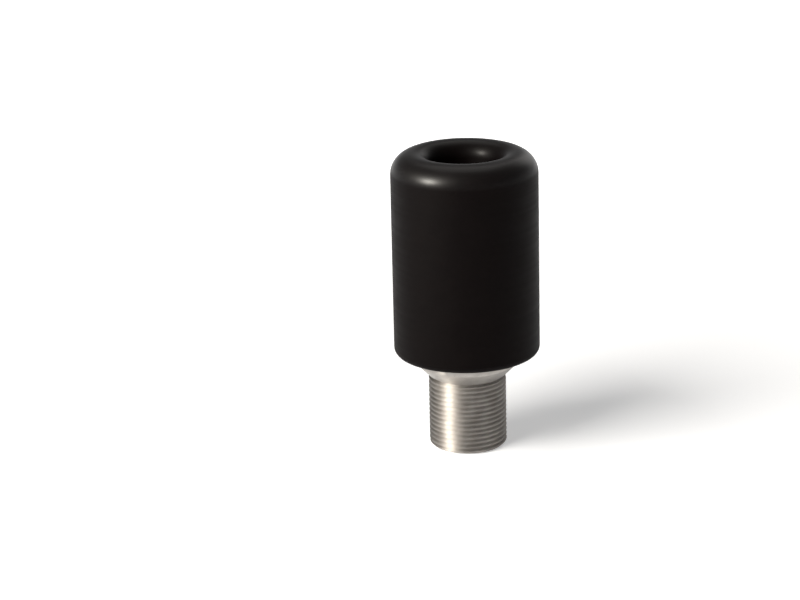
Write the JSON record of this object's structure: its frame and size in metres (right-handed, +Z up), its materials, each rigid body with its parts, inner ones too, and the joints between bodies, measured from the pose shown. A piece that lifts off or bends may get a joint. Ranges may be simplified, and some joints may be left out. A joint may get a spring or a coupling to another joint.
{
  "type": "bar end weight",
  "caption": "Blunt black handlebar end weight with a cap screw deep in its open mouth, clamped to a steel adapter whose coned, fine-threaded stub screws into the bar.",
  "frame": {"origin": "centre of the threaded stub's lower end, on which the weight stands", "axes": "+Z up the common axis, from the threaded stub to the open mouth; +X through a corner of the screw's hexagon socket"},
  "size_m": [0.03, 0.03, 0.0623],
  "materials": {
    "black_plastic": "satin, turned",
    "turned_steel": "bright, turned",
    "zinc_steel": "bright zinc plate"
  },
  "bodies": {
    "root": {"weight_body": "black_plastic", "threaded_adapter": "turned_steel", "cap_screw": "zinc_steel"}
  },
  "joints": []
}
